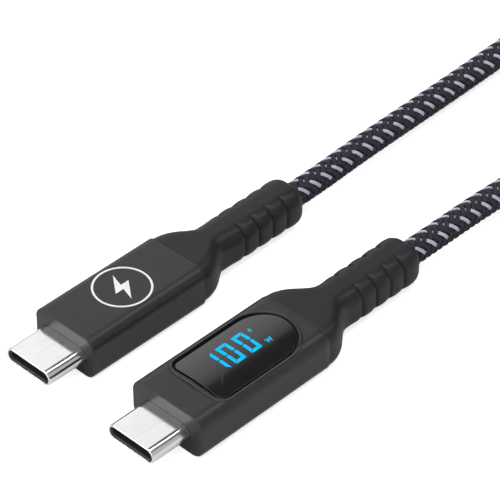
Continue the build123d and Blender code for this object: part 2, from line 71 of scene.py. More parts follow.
# --- Camera -------------------------------------------------------------------

CAMERA_TARGET = Vector((12.118, 16.041, 3.3))
CAMERA_AZIMUTH = -45.718
CAMERA_ELEVATION = 39.618
CAMERA_DISTANCE = 407.1
CAMERA_LENS = 216.0


def make_camera():
    back = bearing(CAMERA_AZIMUTH, CAMERA_ELEVATION)
    data = bpy.data.cameras.new("camera")
    data.lens = CAMERA_LENS
    data.clip_start = 0.01
    data.clip_end = 20
    camera = bpy.data.objects.new("camera", data)
    camera.location = (CAMERA_TARGET + back * CAMERA_DISTANCE) * MM
    camera.rotation_euler = back.to_track_quat("Z", "Y").to_euler()
    bpy.context.scene.collection.objects.link(camera)
    bpy.context.scene.camera = camera


# --- Mesh helpers -------------------------------------------------------------


def make_object(name, vertices, faces, material, sharp=35, weighted=False):
    """A smooth-shaded mesh piece, given in millimetres, that rides on the part's one body."""
    mesh = bpy.data.meshes.new(name)
    mesh.from_pydata([tuple(MM * c for c in v) for v in vertices], [], faces)
    mesh.validate()
    mesh.shade_smooth()
    mesh.set_sharp_from_angle(angle=math.radians(sharp))
    mesh.materials.append(material)
    piece = bpy.data.objects.new(name, mesh)
    bpy.context.scene.collection.objects.link(piece)
    if weighted:
        normals = piece.modifiers.new("normals", "WEIGHTED_NORMAL")
        normals.keep_sharp = True
    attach(piece, "root")
    return piece


def skin(rings, offset=0, cap_start=False, cap_end=False, joined=False):
    """Quads between rings of the same number of points, with or without end caps."""
    count = len(rings[0])
    faces = []
    last = len(rings) if joined else len(rings) - 1
    for ring in range(last):
        here = offset + ring * count
        there = offset + (ring + 1) % len(rings) * count
        for point in range(count):
            after = (point + 1) % count
            faces.append((here + point, here + after, there + after, there + point))
    if cap_start:
        faces.append(tuple(offset + point for point in reversed(range(count))))
    if cap_end:
        faces.append(tuple(offset + (len(rings) - 1) * count + point for point in range(count)))
    return faces


class Shell:
    """Collects the surfaces that make up one piece."""

    def __init__(self):
        self.vertices = []
        self.faces = []

    def add(self, rings, **caps):
        self.faces += skin(rings, len(self.vertices), **caps)
        for ring in rings:
            self.vertices += [tuple(point) for point in ring]
        return self

    def prism(self, outline, low, high):
        """An upright bar on that outline, given counter-clockwise from above. Its ends are heights over y."""
        rings = [[(x, y, end(y)) for x, y in outline] for end in (low, high)]
        return self.add(rings, cap_start=True, cap_end=True)

    def finish(self, name, material, **options):
        return make_object(name, self.vertices, self.faces, material, **options)


def rounded_rectangle(width, height, corner, steps=12, side=1):
    """Points round a rounded rectangle, counter-clockwise, as (across, up)."""
    points = []
    for quarter, (sx, sy) in enumerate(((1, 1), (-1, 1), (-1, -1), (1, -1))):
        centre = (sx * (width / 2 - corner), sy * (height / 2 - corner))
        arc = []
        for step in range(steps + 1):
            angle = math.radians(90 * quarter + 90 * step / steps)
            arc.append((centre[0] + corner * math.cos(angle), centre[1] + corner * math.sin(angle)))
        points += arc
        if side > 1:
            following = ((-1, 1), (-1, -1), (1, -1), (1, 1))[quarter]
            angle = math.radians(90 * quarter + 90)
            target = (following[0] * (width / 2 - corner) + corner * math.cos(angle),
                      following[1] * (height / 2 - corner) + corner * math.sin(angle))
            for step in range(1, side):
                share = step / side
                points.append(tuple(a + (b - a) * share for a, b in zip(arc[-1], target)))
    return points


def across(plug, distance, section):
    """A ring square to the plug, from (across, up) points round its axis. Its across direction is +Y."""
    return [(plug["face"] + distance, plug["y"] + u, AXIS_HEIGHT + v) for u, v in section]


# --- Materials ----------------------------------------------------------------


class Nodes:
    """A new material's node tree, with short ways to make and join its nodes."""

    def __init__(self, name):
        self.material = bpy.data.materials.new(name)
        self.material.use_nodes = True
        self.tree = self.material.node_tree
        self.shader = self.tree.nodes["Principled BSDF"]
        self.coordinates = self.tree.nodes.new("ShaderNodeTexCoord")

    def set(self, **values):
        for key, value in values.items():
            socket = self.shader.inputs[key.replace("_", " ")]
            socket.default_value = (*value, 1.0) if isinstance(value, tuple) else value
        return self

    def join(self, source, target):
        self.tree.links.new(source, target)

    def stretched(self, scale, output="Object"):
        """Texture coordinates multiplied by a scale for each axis."""
        mapping = self.tree.nodes.new("ShaderNodeMapping")
        mapping.inputs["Scale"].default_value = scale
        self.join(self.coordinates.outputs[output], mapping.inputs["Vector"])
        return mapping.outputs["Vector"]

    def noise(self, vector, scale, detail=3.0):
        node = self.tree.nodes.new("ShaderNodeTexNoise")
        node.inputs["Scale"].default_value = scale
        node.inputs["Detail"].default_value = detail
        self.join(vector, node.inputs["Vector"])
        return node.outputs["Fac"]

    def ranged(self, value, low, high, start=0.3, end=0.7):
        node = self.tree.nodes.new("ShaderNodeMapRange")
        node.inputs["From Min"].default_value = start
        node.inputs["From Max"].default_value = end
        node.inputs["To Min"].default_value = low
        node.inputs["To Max"].default_value = high
        self.join(value, node.inputs["Value"])
        return node.outputs["Result"]

    def blended(self, value, dark, light, start=0.3, end=0.7):
        ramp = self.tree.nodes.new("ShaderNodeValToRGB")
        ramp.color_ramp.elements[0].position = start
        ramp.color_ramp.elements[0].color = (*dark, 1)
        ramp.color_ramp.elements[1].position = end
        ramp.color_ramp.elements[1].color = (*light, 1)
        self.join(value, ramp.inputs["Fac"])
        return ramp.outputs["Color"]

    def bump(self, value, strength, distance):
        node = self.tree.nodes.new("ShaderNodeBump")
        node.inputs["Strength"].default_value = strength
        node.inputs["Distance"].default_value = distance
        self.join(value, node.inputs["Height"])
        self.join(node.outputs["Normal"], self.shader.inputs["Normal"])


def shaded(color, factor):
    return tuple(channel * factor for channel in color)


def moulded(name, color, roughness, grain=9000, depth=0.004, mottle=0.12, specular=0.5):
    """Moulded plastic or rubber: a fine spark-eroded grain and slight mottling."""
    nodes = Nodes(name).set(Specular_IOR_Level=specular)
    place = nodes.stretched((1, 1, 1))
    cloud = nodes.noise(place, 900, 4)
    fine = nodes.noise(place, grain, 2)
    colours = nodes.blended(cloud, shaded(color, 1 - mottle), shaded(color, 1 + mottle))
    nodes.join(colours, nodes.shader.inputs["Base Color"])
    nodes.join(nodes.ranged(fine, roughness - 0.05, roughness + 0.05), nodes.shader.inputs["Roughness"])
    nodes.bump(fine, 0.35, depth * MM)
    return nodes.material


def metal(name, color, roughness, lines=(60, 3000, 3000), depth=0.0006):
    """Plated or drawn metal, with faint marks along X."""
    nodes = Nodes(name).set(Metallic=1.0)
    marks = nodes.noise(nodes.stretched(lines), 1, 3)
    cloud = nodes.noise(nodes.stretched((1, 1, 1)), 500, 3)
    nodes.join(nodes.blended(cloud, shaded(color, 0.94), color), nodes.shader.inputs["Base Color"])
    nodes.join(nodes.ranged(marks, roughness * 0.8, roughness * 1.3), nodes.shader.inputs["Roughness"])
    nodes.bump(marks, 0.2, depth * MM)
    return nodes.material


def polished_lens(name):
    """Smoked window: dark plastic under a clear hard coat, with the faintest orange peel."""
    nodes = Nodes(name).set(Roughness=0.3, Specular_IOR_Level=0.2)
    nodes.set(Coat_Weight=1.0, Coat_Roughness=0.12, Coat_IOR=1.5)
    ripple = nodes.noise(nodes.stretched((1, 1, 1)), 260, 2)
    tint = nodes.blended(ripple, (0.006, 0.006, 0.007), (0.009, 0.009, 0.010))
    nodes.join(tint, nodes.shader.inputs["Base Color"])
    nodes.bump(ripple, 0.04, 0.01 * MM)
    return nodes.material


def lit(name, color, strength):
    """Light guide, slightly uneven as an LED behind a diffuser is."""
    nodes = Nodes(name).set(Base_Color=shaded(color, 0.1), Roughness=0.6, Specular_IOR_Level=0.1)
    nodes.set(Emission_Strength=strength)
    cloud = nodes.noise(nodes.stretched((1, 1, 1)), 1400, 2)
    nodes.join(nodes.blended(cloud, shaded(color, 0.93), color), nodes.shader.inputs["Emission Color"])
    return nodes.material


def yarn(name, dark, light, sheen):
    """Polyester yarn: filaments run along it with a slight twist, and the filament noise paints lighter
    streaks into the base colour as painted highlights on the filaments. UV: mm along the yarn, turn round it.
    """
    nodes = Nodes(name).set(Sheen_Weight=sheen, Sheen_Roughness=0.4, Specular_IOR_Level=0.35)
    filaments = nodes.noise(nodes.stretched((0.9, 14, 1), "UV"), 1.0, 3)
    cloud = nodes.noise(nodes.stretched((1, 1, 1)), 700, 2)
    # Painted highlight: the filament noise blends the base colour from the dark colour up to the lighter one
    # in streaks along the yarn. The same noise also drives the filaments' real bump.
    nodes.join(nodes.blended(filaments, dark, light, 0.35, 0.68), nodes.shader.inputs["Base Color"])
    nodes.join(nodes.ranged(cloud, 0.5, 0.75), nodes.shader.inputs["Roughness"])
    nodes.bump(filaments, 0.5, 0.03 * MM)
    return nodes.material


def strap_fabric(name):
    """Hook-and-loop strap: short dark pile."""
    nodes = Nodes(name).set(Sheen_Weight=0.35, Sheen_Roughness=0.5)
    pile = nodes.noise(nodes.stretched((1, 1, 1)), 5200, 4)
    tint = nodes.blended(pile, (0.008, 0.008, 0.009), (0.035, 0.035, 0.038))
    nodes.join(tint, nodes.shader.inputs["Base Color"])
    nodes.join(nodes.ranged(pile, 0.7, 0.95), nodes.shader.inputs["Roughness"])
    nodes.bump(pile, 0.9, 0.12 * MM)
    return nodes.material


HOUSING = moulded("housing_plastic", (0.020, 0.020, 0.0205), 0.40, grain=7000, depth=0.005)
RIM = moulded("rim_plastic", (0.022, 0.022, 0.0225), 0.30, grain=9000, depth=0.001)
RUBBER = moulded("relief_rubber", (0.012, 0.012, 0.0123), 0.44, grain=6000, depth=0.005, specular=0.4)
BLACK = moulded("carrier_plastic", (0.008, 0.008, 0.009), 0.55)
# Black gasket foam. The same material lines the rim's inner wall round the window as painted shade in the
# gap.
GASKET_AND_GAP_SHADE = moulded("gasket_foam", (0.004, 0.004, 0.004), 0.8, grain=4000)
STEEL = metal("steel_shell", (0.90, 0.90, 0.91), 0.16)
LENS = polished_lens("window_lens")
LIT = lit("lit_segments", (0.0, 0.56, 1.0), 0.95)
INK = moulded("badge_ink", (0.86, 0.86, 0.86), 0.6, grain=5000, mottle=0.04)
# In each yarn's colour pair, the second and lighter colour is the painted highlight of its filament streaks.
DARK_YARN = yarn("dark_yarn", (0.004, 0.005, 0.010), (0.040, 0.041, 0.060), 0.04)
LIGHT_YARN = yarn("light_yarn", (0.34, 0.34, 0.44), (0.70, 0.70, 0.82), 0.1)
CORE = moulded("cord_core", (0.006, 0.006, 0.009), 0.7)
STRAP = strap_fabric("tie_fabric")

INNER_MATERIALS = {
    "upper_contacts": metal("gold_contacts", (0.95, 0.72, 0.36), 0.22),
    "latch_spring": metal("spring_steel", (0.62, 0.62, 0.62), 0.3),
    "shield_can": metal("shield_steel", (0.66, 0.66, 0.64), 0.32),
    "crimp_ring": metal("crimp_steel", (0.6, 0.6, 0.58), 0.35),
    "current_shunt": metal("shunt_alloy", (0.52, 0.5, 0.46), 0.4),
    "plug_collar": moulded("inner_plastic", (0.05, 0.05, 0.055), 0.5),
    "circuit_board": moulded("circuit_board", (0.012, 0.11, 0.05), 0.35, grain=3000),
    "emarker_chip": moulded("chip_epoxy", (0.02, 0.02, 0.02), 0.55),
    "display_module": moulded("display_module", (0.03, 0.03, 0.035), 0.3),
    "board_capacitors": moulded("capacitor_ceramic", (0.45, 0.33, 0.22), 0.4),
    "power_wires": moulded("wire_insulation", (0.36, 0.03, 0.03), 0.4),
    "signal_wires": moulded("signal_insulation", (0.7, 0.7, 0.68), 0.4),
    "cable_tail": CORE,
}
INNER_MATERIALS["lower_contacts"] = INNER_MATERIALS["upper_contacts"]
INNER_MATERIALS["ground_springs"] = INNER_MATERIALS["latch_spring"]
INNER_MATERIALS["controller_chip"] = INNER_MATERIALS["emarker_chip"]


def paint_carried_nodes():
    """Gives each CAD node that isn't replaced its procedural material."""
    for name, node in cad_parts.items():
        for ending, material in INNER_MATERIALS.items():
            if name.endswith(ending):
                node = bpy.data.objects[name] if not hasattr(node, "data") else node
                node.data.materials.clear()
                node.data.materials.append(material)


# --- Cord ---------------------------------------------------------------------

# The uncoiled stretches, from each strain relief towards the coil
METER_RELIEF_END = METER_FACE + METER_LENGTH + METER_RELIEF_LENGTH
PLAIN_RELIEF_END = PLAIN_FACE + PLAIN_LENGTH + PLAIN_RELIEF_LENGTH
METER_ROUTE = (
    (METER_RELIEF_END, 0.0, AXIS_HEIGHT),
    (32.0, 0.0, AXIS_HEIGHT),
    (42.0, 0.3, 2.9),
    (52.0, 0.1, 2.5),
    (64.0, -1.7, 2.3),
    (76.0, -5.2, 2.35),
    (90.0, -9.6, 2.4),
)
PLAIN_ROUTE = (
    (PLAIN_RELIEF_END, PLAIN_Y, AXIS_HEIGHT),
    (29.0, PLAIN_Y, AXIS_HEIGHT),
    (38.0, 20.75, 3.0),
    (49.0, 21.3, 2.65),
    (62.0, 21.85, 2.3),
    (82.0, 22.7, 2.2),
)

TURN_PITCH = 3.95
INNER_TURN = 12.6
COLUMNS = 4
COIL_CENTRE = (112.0, 8.6)
TIE_THICKNESS = 0.6
LOW_TURN_Z = TIE_THICKNESS + CORD_RADIUS
HIGH_TURN_Z = LOW_TURN_Z + TURN_PITCH
OUTER_TURN = INNER_TURN + (COLUMNS - 1) * TURN_PITCH
LEAVING_TURN = OUTER_TURN + TURN_PITCH
POINTS_PER_TURN = 16
SHIFT_ANGLE = 60.0


def tangent_angle(point, radius, side):
    """Angle round the coil's axis, in degrees, of a turn's tangent point as seen from that point."""
    away = Vector((point[0] - COIL_CENTRE[0], point[1] - COIL_CENTRE[1]))
    return math.degrees(math.atan2(away.y, away.x) + side * math.acos(radius / away.length))


def eased(share):
    share = min(max(share, 0.0), 1.0)
    return share * share * (3 - 2 * share)


def turn_places():
    """Radius and height of each whole turn: inwards in the lower layer, then outwards in the upper one."""
    radii = [INNER_TURN + column * TURN_PITCH for column in range(COLUMNS)]
    return [(r, LOW_TURN_Z) for r in reversed(radii)] + [(r, HIGH_TURN_Z) for r in radii]


def coil_points():
    """Control points of the coil. Its last turn comes down outside the others and leaves at a tangent."""
    start = tangent_angle(METER_ROUTE[-1], OUTER_TURN, 1) % 360
    end = tangent_angle(PLAIN_ROUTE[-1], LEAVING_TURN, -1) % 360 + 360
    places = turn_places()
    total = 360 * len(places) + end - start
    count = round(total / 360 * POINTS_PER_TURN)
    step = total / count
    swell = 1 / math.cos(math.radians(step / 2))
    points = []
    for index in range(count):
        gone = (index + 0.5) * step
        turn = int(gone // 360)
        within = gone - 360 * turn
        if turn < len(places):
            radius, height = places[turn]
            following = places[min(turn + 1, len(places) - 1)]
            share = eased((within - 360 + SHIFT_ANGLE) / SHIFT_ANGLE)
            radius += (following[0] - radius) * share
            height += (following[1] - height) * share
        else:
            fall = math.radians(90 * eased(within / SHIFT_ANGLE))
            radius = OUTER_TURN + TURN_PITCH * math.sin(fall)
            height = LOW_TURN_Z + TURN_PITCH * math.cos(fall)
        angle = math.radians(start + gone)
        x = COIL_CENTRE[0] + swell * radius * math.cos(angle)
        points.append((x, COIL_CENTRE[1] + swell * radius * math.sin(angle), height))
    return points


def make_route_curve(name, bevel):
    curve = bpy.data.curves.new(name, "CURVE")
    curve.dimensions = "3D"
    curve.resolution_u = 12
    curve.bevel_depth = bevel * MM
    curve.bevel_resolution = 4
    curve.use_fill_caps = bevel > 0
    spline = curve.splines.new("NURBS")
    points = [*METER_ROUTE, *coil_points(), *reversed(PLAIN_ROUTE)]
    spline.points.add(len(points) - 1)
    for control, point in zip(spline.points, points):
        control.co = (*(MM * c for c in point), 1.0)
    spline.order_u = 3
    spline.use_endpoint_u = True
    piece = bpy.data.objects.new(name, curve)
    bpy.context.scene.collection.objects.link(piece)
    return piece


class Route:
    """The cord's centreline with a frame that doesn't twist, read from its spline. Lengths in mm."""

    def __init__(self):
        guide = make_route_curve("route_guide", 0)
        mesh = bpy.data.meshes.new_from_object(guide)
        points = np.array([vertex.co[:] for vertex in mesh.vertices]) / MM
        bpy.data.meshes.remove(mesh)
        bpy.data.objects.remove(guide)
        kept = np.r_[True, np.linalg.norm(np.diff(points, axis=0), axis=1) > 1e-6]
        self.points = points[kept]
        steps = np.linalg.norm(np.diff(self.points, axis=0), axis=1)
        self.places = np.r_[0, np.cumsum(steps)]
        self.length = self.places[-1]
        self.tangents = np.gradient(self.points, self.places, axis=0)
        self.tangents /= np.linalg.norm(self.tangents, axis=1)[:, None]
        self.normals = self.carry_normal()

    def carry_normal(self):
        normal = np.array((0.0, 0.0, 1.0))
        normals = []
        for tangent in self.tangents:
            normal = normal - tangent * normal.dot(tangent)
            normal /= np.linalg.norm(normal)
            normals.append(normal)
        return np.array(normals)

    def at(self, places):
        """Points, tangents and both cross directions at those lengths along the cord."""
        columns = []
        for values in (self.points, self.tangents, self.normals):
            columns.append(np.stack([np.interp(places, self.places, values[:, c]) for c in range(3)], axis=1))
        points, tangents, normals = columns
        tangents /= np.linalg.norm(tangents, axis=1)[:, None]
        normals -= tangents * np.sum(normals * tangents, axis=1)[:, None]
        normals /= np.linalg.norm(normals, axis=1)[:, None]
        return points, tangents, normals, np.cross(tangents, normals)


# Braid: eight yarns each way, over two and under two, with every second yarn of one way light
BRAID_PITCH = 9.25
YARNS_EACH_WAY = 8
BRAID_RADIUS = 1.66
BRAID_WAVE = 0.11
DARK_WIDTH = 0.70
LIGHT_WIDTH = 0.56
YARN_THICKNESS = 0.28
COLUMN_ANGLE = 53.0
UNCOILED_FROM_METER = 70.0
UNCOILED_FROM_PLAIN = 70.0
TWO_THREADS = (
    (-0.50, 0.00), (-0.40, 0.34), (-0.26, 0.50), (-0.12, 0.40), (0.00, 0.16), (0.12, 0.40),
    (0.26, 0.50), (0.40, 0.34), (0.50, 0.00), (0.26, -0.45), (-0.26, -0.45),
)
ONE_THREAD = ((-0.50, 0.00), (-0.28, 0.48), (0.28, 0.48), (0.50, 0.00), (0.26, -0.40), (-0.26, -0.40))


class Braid:
    def __init__(self, route):
        self.route = route
        self.twist = self.twist_at_end()

    def twist_at_end(self):
        """Turn, in radians, that puts a column of light dashes on the same side of the cord at both ends."""
        tilt = math.radians(COLUMN_ANGLE)
        wanted = np.array((0.0, -math.sin(tilt), math.cos(tilt)))
        _, _, normal, side = self.route.at(np.array([self.route.length]))
        angle = math.atan2(side[0].dot(wanted), normal[0].dot(wanted)) - tilt
        quarter = math.pi / 2
        return (angle + quarter / 2) % quarter - quarter / 2

    def turned(self, places):
        inside = self.route.length - UNCOILED_FROM_PLAIN - UNCOILED_FROM_METER
        return self.twist * np.clip((places - UNCOILED_FROM_METER) / inside, 0, 1)

    def strand(self, start, end, way, index, samples_per_mm, profile, yarn_width):
        """Rings of one yarn between two lengths along the cord, with the yarn's own length at each."""
        count = max(4, int((end - start) * samples_per_mm))
        places = np.linspace(start, end, count)
        points, _, normal, side = self.route.at(places)
        turned = self.turned(places)
        angle = way * 2 * math.pi * places / BRAID_PITCH + 2 * math.pi * index / YARNS_EACH_WAY
        wave = np.tanh(2.2 * np.cos(4 * (angle - math.radians(COLUMN_ANGLE)))) / math.tanh(2.2)
        angle = angle + turned
        outward = normal * np.cos(angle)[:, None] + side * np.sin(angle)[:, None]
        radius = BRAID_RADIUS + way * BRAID_WAVE * wave
        line = points + outward * radius[:, None]
        along = np.gradient(line, axis=0)
        along /= np.linalg.norm(along, axis=1)[:, None]
        lift = outward - along * np.sum(outward * along, axis=1)[:, None]
        lift /= np.linalg.norm(lift, axis=1)[:, None]
        sideways = np.cross(along, lift)
        rings = [
            line + sideways * (yarn_width * across_share) + lift * (YARN_THICKNESS * up_share)
            for across_share, up_share in profile
        ]
        own_length = np.r_[0, np.cumsum(np.linalg.norm(np.diff(line, axis=0), axis=1))]
        return np.stack(rings, axis=1), own_length

    def piece(self, name, strands, start, end, samples_per_mm, profile, material):
        yarn_width = LIGHT_WIDTH if material is LIGHT_YARN else DARK_WIDTH
        vertices, faces, uvs = [], [], []
        offset = 0
        width = len(profile)
        for way, index in strands:
            rings, own_length = self.strand(start, end, way, index, samples_per_mm, profile, yarn_width)
            count = len(rings)
            vertices.append(rings.reshape(-1, 3))
            ring, point = np.meshgrid(np.arange(count - 1), np.arange(width), indexing="ij")
            after = (point + 1) % width
            quads = np.stack(
                [
                    ring * width + point,
                    (ring + 1) * width + point,
                    (ring + 1) * width + after,
                    ring * width + after,
                ],
                axis=-1,
            )
            faces.append(offset + quads.reshape(-1, 4))
            low, high = own_length[ring], own_length[ring + 1]
            left, right = point / width, (point + 1) / width
            corner_uvs = np.stack([np.stack([low, left], -1), np.stack([high, left], -1),
                                   np.stack([high, right], -1), np.stack([low, right], -1)], axis=2)
            uvs.append(corner_uvs.reshape(-1, 2) + (7.3 * index, 3.1 * way))
            offset += count * width
        mesh = bpy.data.meshes.new(name)
        all_vertices = np.concatenate(vertices) * MM
        all_faces = np.concatenate(faces)
        mesh.vertices.add(len(all_vertices))
        mesh.vertices.foreach_set("co", all_vertices.ravel())
        mesh.loops.add(all_faces.size)
        mesh.loops.foreach_set("vertex_index", all_faces.ravel())
        mesh.polygons.add(len(all_faces))
        mesh.polygons.foreach_set("loop_start", np.arange(0, all_faces.size, 4))
        layer = mesh.uv_layers.new(name="yarn")
        mesh.update(calc_edges=True)
        layer.data.foreach_set("uv", np.concatenate(uvs).ravel())
        mesh.shade_smooth()
        mesh.materials.append(material)
        piece = bpy.data.objects.new(name, mesh)
        bpy.context.scene.collection.objects.link(piece)
        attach(piece, "root")
        return piece


def make_cord():
    """The cord's core on its route, and the braid round it."""
    core = make_route_curve("cord", BRAID_RADIUS - BRAID_WAVE - 0.05)
    core.data.materials.append(CORE)
    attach(core, "root")
    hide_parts("cord_meter_run", "cord_coil", "cord_plain_run")
    route = Route()
    braid = Braid(route)
    light = [(1, index) for index in range(0, YARNS_EACH_WAY, 2)]
    dark = [(1, index) for index in range(1, YARNS_EACH_WAY, 2)]
    dark += [(-1, index) for index in range(YARNS_EACH_WAY)]
    plain_start = route.length - UNCOILED_FROM_PLAIN
    pieces = []
    for stretch, start, end in (("meter", 0, UNCOILED_FROM_METER), ("plain", plain_start, route.length)):
        pieces.append(braid.piece(f"braid_{stretch}_dark", dark, start, end, 4.6, TWO_THREADS, DARK_YARN))
        pieces.append(braid.piece(f"braid_{stretch}_light", light, start, end, 4.6, TWO_THREADS, LIGHT_YARN))
    for third in range(3):
        some = dark[third::3]
        name = f"braid_coil_dark_{third}"
        pieces.append(braid.piece(name, some, UNCOILED_FROM_METER, plain_start, 2.9, ONE_THREAD, DARK_YARN))
    coil_light = braid.piece(
        "braid_coil_light", light, UNCOILED_FROM_METER, plain_start, 2.9, ONE_THREAD, LIGHT_YARN
    )
    pieces.append(coil_light)
    return core, route, pieces


# --- Ties on the coil ---------------------------------------------------------

TIE_ARC = 20.0
STRAP_THICKNESS = 0.45


def hull(points):
    """Convex hull, counter-clockwise."""
    points = sorted(set(points))

    def half(ordered):
        chain = []
        for p in ordered:
            while len(chain) > 1:
                (ax, ay), (bx, by) = chain[-2], chain[-1]
                if (bx - ax) * (p[1] - ay) - (by - ay) * (p[0] - ax) > 0:
                    break
                chain.pop()
            chain.append(p)
        return chain[:-1]

    return half(points) + half(points[::-1])


def bundle_outline(grow):
    """Convex outline of the turns in a section through the coil, as (radius, height)."""
    centres = [
        (INNER_TURN, LOW_TURN_Z),
        (INNER_TURN, HIGH_TURN_Z),
        (OUTER_TURN, HIGH_TURN_Z),
        (LEAVING_TURN, LOW_TURN_Z),
    ]
    points = []
    for r, z in centres:
        for step in range(48):
            angle = 2 * math.pi * step / 48
            reach = CORD_RADIUS + grow
            points.append((r + reach * math.cos(angle), z + reach * math.sin(angle)))
    return hull(points)


def make_tie(name, angle):
    """A strap round the bundle: its section across the strap is a flat oblong with rounded edges."""
    width_steps = 10
    inner = bundle_outline(0.03)
    outer = bundle_outline(STRAP_THICKNESS)
    count = len(inner)

    def place(share, ring_share, edge):
        turn = math.radians(angle + edge * TIE_ARC / 2)
        r = inner[share][0] + (outer[share][0] - inner[share][0]) * ring_share
        z = inner[share][1] + (outer[share][1] - inner[share][1]) * ring_share
        return (COIL_CENTRE[0] + r * math.cos(turn), COIL_CENTRE[1] + r * math.sin(turn), z)

    section = [(0.0, edge) for edge in np.linspace(-0.97, 0.97, width_steps)]
    section += [(0.25, 1.0), (0.75, 1.0)]
    section += [(1.0, edge) for edge in np.linspace(0.96, -0.96, width_steps)]
    section += [(0.75, -1.0), (0.25, -1.0)]
    rings = [[place(share, ring_share, edge) for ring_share, edge in section] for share in range(count)]
    piece = Shell().add(rings, joined=True).finish(name, STRAP, sharp=60)
    return piece


# --- Plugs --------------------------------------------------------------------

METER = {
    "name": "meter", "face": METER_FACE, "y": 0.0,
    "width": METER_WIDTH, "length": METER_LENGTH, "corner": METER_CORNER,
    "relief_length": METER_RELIEF_LENGTH, "ribs_start": 9.9,
}
PLAIN = {
    "name": "plain", "face": PLAIN_FACE, "y": PLAIN_Y,
    "width": PLAIN_WIDTH, "length": PLAIN_LENGTH, "corner": PLAIN_CORNER,
    "relief_length": PLAIN_RELIEF_LENGTH, "ribs_start": 10.3,
}


def quarter_round(steps):
    """Shares (along, across) of a quarter circle that starts square to the front."""
    angles = [math.pi / 2 * step / steps for step in range(steps + 1)]
    return [(1 - math.cos(a), 1 - math.sin(a)) for a in angles]


def make_plug_shell(plug):
    rings = []

    def ring(distance, inset):
        width, height = SHELL_WIDTH - 2 * inset, SHELL_HEIGHT - 2 * inset
        section = rounded_rectangle(width, height, SHELL_HEIGHT / 2 - inset, 16, 6)
        rings.append(across(plug, distance, section))

    for distance in (SHELL_BURIED, 0.0, -SHELL_EXPOSED / 2):
        ring(distance, 0)
    for step in range(9):
        angle = math.pi / 2 * step / 8
        ring(-SHELL_EXPOSED + SHELL_LIP * (1 - math.sin(angle)), SHELL_LIP * (1 - math.cos(angle)))
    ring(-SHELL_EXPOSED + 0.03, SHELL_WALL - 0.06)
    ring(-SHELL_EXPOSED + 0.09, SHELL_WALL)
    ring(SHELL_BURIED, SHELL_WALL)
    piece = Shell().add(rings, joined=True).finish(f"{plug['name']}_shell", STEEL, sharp=50, weighted=True)
    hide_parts(f"{plug['name']}_plug_shell")
    return piece


def make_carrier(plug):
    """Black lining of the shell with the mouth that takes the socket's tongue."""
    front = -SHELL_EXPOSED + 0.3
    inside = SHELL_WALL - 0.01
    lining_width = SHELL_WIDTH - 2 * inside
    lining_height = SHELL_HEIGHT - 2 * inside
    lining_corner = SHELL_HEIGHT / 2 - inside
    rings = []
    for distance, width, height, corner in (
        (SHELL_BURIED, lining_width, lining_height, lining_corner),
        (front + 0.05, lining_width, lining_height, lining_corner),
        (front, lining_width - 0.1, lining_height - 0.1, lining_corner - 0.05),
        (front, 7.1, 1.2, 0.59),
        (front + 0.12, 7.0, 1.08, 0.53),
        (front + 5.7, 7.0, 1.08, 0.53),
    ):
        rings.append(across(plug, distance, rounded_rectangle(width, height, corner, 8)))
    shell = Shell().add(rings, cap_start=True, cap_end=True)
    piece = shell.finish(f"{plug['name']}_carrier", BLACK, sharp=40)
    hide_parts(f"{plug['name']}_contact_carrier")
    return piece


def pocket_half_width(x):
    """Half width of the pocket under the window and its rim, that far behind the housing's front face."""
    grow = GAP_WIDTH + POCKET_MARGIN
    half = WINDOW_HALF_WIDTH + grow
    corner = WINDOW_CORNER + grow
    front = WINDOW_FRONT - grow
    centre = WINDOW_REAR - WINDOW_HALF_WIDTH
    if x < front or x > centre + half:
        return 0.0
    if x < front + corner:
        return half - corner + math.sqrt(corner**2 - (front + corner - x) ** 2)
    return math.sqrt(half**2 - max(x - centre, 0) ** 2)


def housing_rings(plug):
    """From the hole round the plug shell, over the rounded front edge and back to the seam."""
    width, height, corner = plug["width"], BODY_HEIGHT, plug["corner"]
    hole = rounded_rectangle(SHELL_WIDTH + 0.08, SHELL_HEIGHT + 0.08, SHELL_HEIGHT / 2 + 0.04, 12, 44)
    rings = [across(plug, 1.0, hole), across(plug, 0.0, hole)]

    def ring(distance, inset, pocket=0.0):
        section = rounded_rectangle(width - 2 * inset, height - 2 * inset, corner - inset, 12, 44)
        floor = height / 2 - POCKET_DEPTH
        section = [(u, floor) if abs(u - WINDOW_Y) < pocket and v > floor else (u, v) for u, v in section]
        rings.append(across(plug, distance, section))

    for along, inward in quarter_round(6):
        ring(FRONT_ROUNDING * along, FRONT_ROUNDING * inward)
    if plug is METER:
        for distance in np.arange(POCKET_START, WINDOW_REAR + POCKET_RUN_OUT, POCKET_STEP):
            ring(distance, 0, pocket_half_width(distance))
    ring(plug["length"] - 0.1, 0)
    ring(plug["length"], 0.05)
    ring(plug["length"], 0.6)
    ring(plug["length"] - 1.0, 0.9)
    return rings


def make_housing(plug, shell):
    shell.add(housing_rings(plug), cap_start=True, cap_end=True)
    piece = shell.finish(f"{plug['name']}_body", HOUSING, sharp=40, weighted=True)
    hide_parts(f"{plug['name']}_housing")
    return piece


# Strain relief: distance from the seam, share of the housing's half width, half height, corner radius
RELIEF_SHAPE = (
    (0.0, 0.985, 3.22, 1.9),
    (1.6, 0.96, 3.2, 2.0),
    (3.2, 0.85, 3.17, 2.1),
    (4.7, 0.66, 3.13, 2.15),
    (6.0, 0.52, 3.1, 2.2),
    (7.8, 0.475, 3.05, 2.2),
    (9.4, 0.475, 3.0, 2.2),
    (22.1, 0.475, 3.0, 2.2),
)
RELIEF_HALF_WIDTH = 2.98
RIB_PITCH = 2.75
RIB_COUNT = 4
SLOT_DEPTH = 0.30
SLOT_HALF_WIDTH = 0.22
LOBE_HEIGHT = 0.22
RELIEF_END_ROUNDING = 1.1


